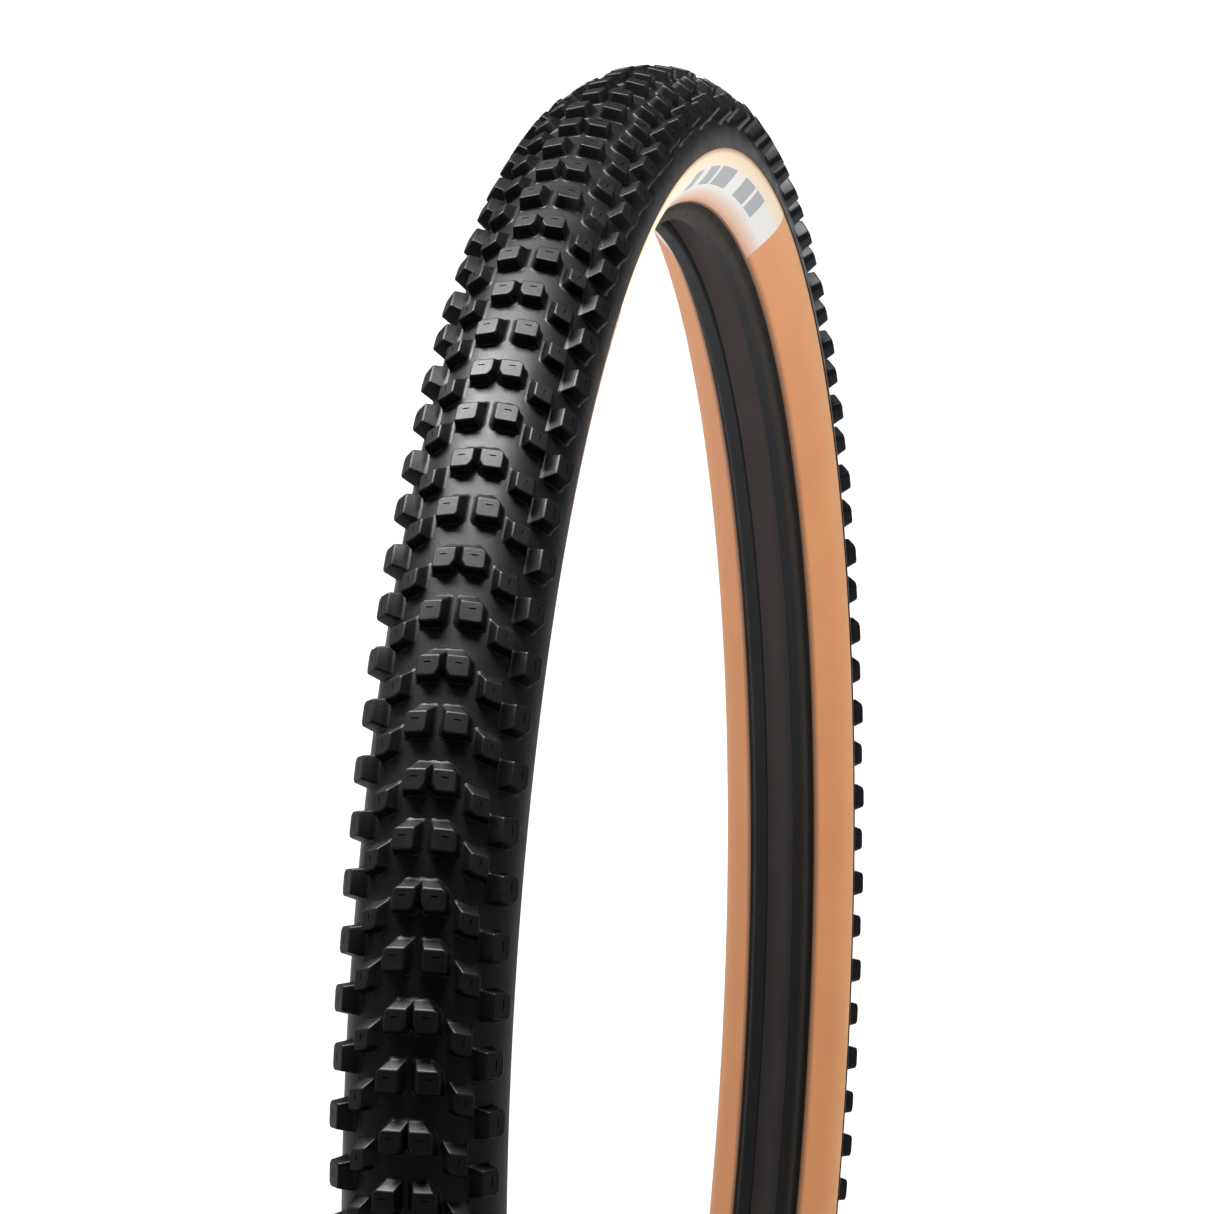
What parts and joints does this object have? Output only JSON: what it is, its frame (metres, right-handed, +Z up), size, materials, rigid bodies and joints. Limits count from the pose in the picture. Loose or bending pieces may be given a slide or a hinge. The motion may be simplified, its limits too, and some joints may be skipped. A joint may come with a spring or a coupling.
{
  "type": "bicycle tire",
  "caption": "Knobbly off-road bicycle tire with black tread, tan sidewalls and folding beads, for a 622 mm rim.",
  "frame": {"origin": "wheel centre, on the axle axis midway between the two sides", "axes": "+Y along the axle toward the left side of the bicycle, +Z up, +X the way the bicycle travels"},
  "size_m": [0.738, 0.0598, 0.738],
  "materials": {
    "liner_rubber": "satin butyl film",
    "casing_cloth": "rubbered nylon cloth",
    "bead_bundle": "aramid cord bundle",
    "filler_rubber": "hard matt rubber",
    "chafer_rubber": "matt black-brown hard rubber",
    "tan_rubber": "matt tan rubber over cloth",
    "belt_cloth": "woven nylon",
    "tread_rubber": "matt black rubber",
    "label_ink": "matt cream print"
  },
  "bodies": {
    "root": {"inner_liner": "liner_rubber", "casing_ply": "casing_cloth", "casing_turnup_left": "casing_cloth", "casing_turnup_right": "casing_cloth", "bead_core_left": "bead_bundle", "bead_core_right": "bead_bundle", "bead_filler_left": "filler_rubber", "bead_filler_right": "filler_rubber", "chafer_left": "chafer_rubber", "chafer_right": "chafer_rubber", "sidewall_skin_left": "tan_rubber", "sidewall_skin_right": "tan_rubber", "breaker_belt": "belt_cloth", "tread_base": "tread_rubber", "tread_shoulder_left": "tread_rubber", "tread_shoulder_right": "tread_rubber", "centre_knobs_close": "tread_rubber", "centre_knobs_wide": "tread_rubber", "transition_knobs_left": "tread_rubber", "transition_knobs_right": "tread_rubber", "shoulder_knobs_left": "tread_rubber", "shoulder_knobs_right": "tread_rubber", "sidewall_label_left": "label_ink", "sidewall_label_right": "label_ink"}
  },
  "joints": []
}
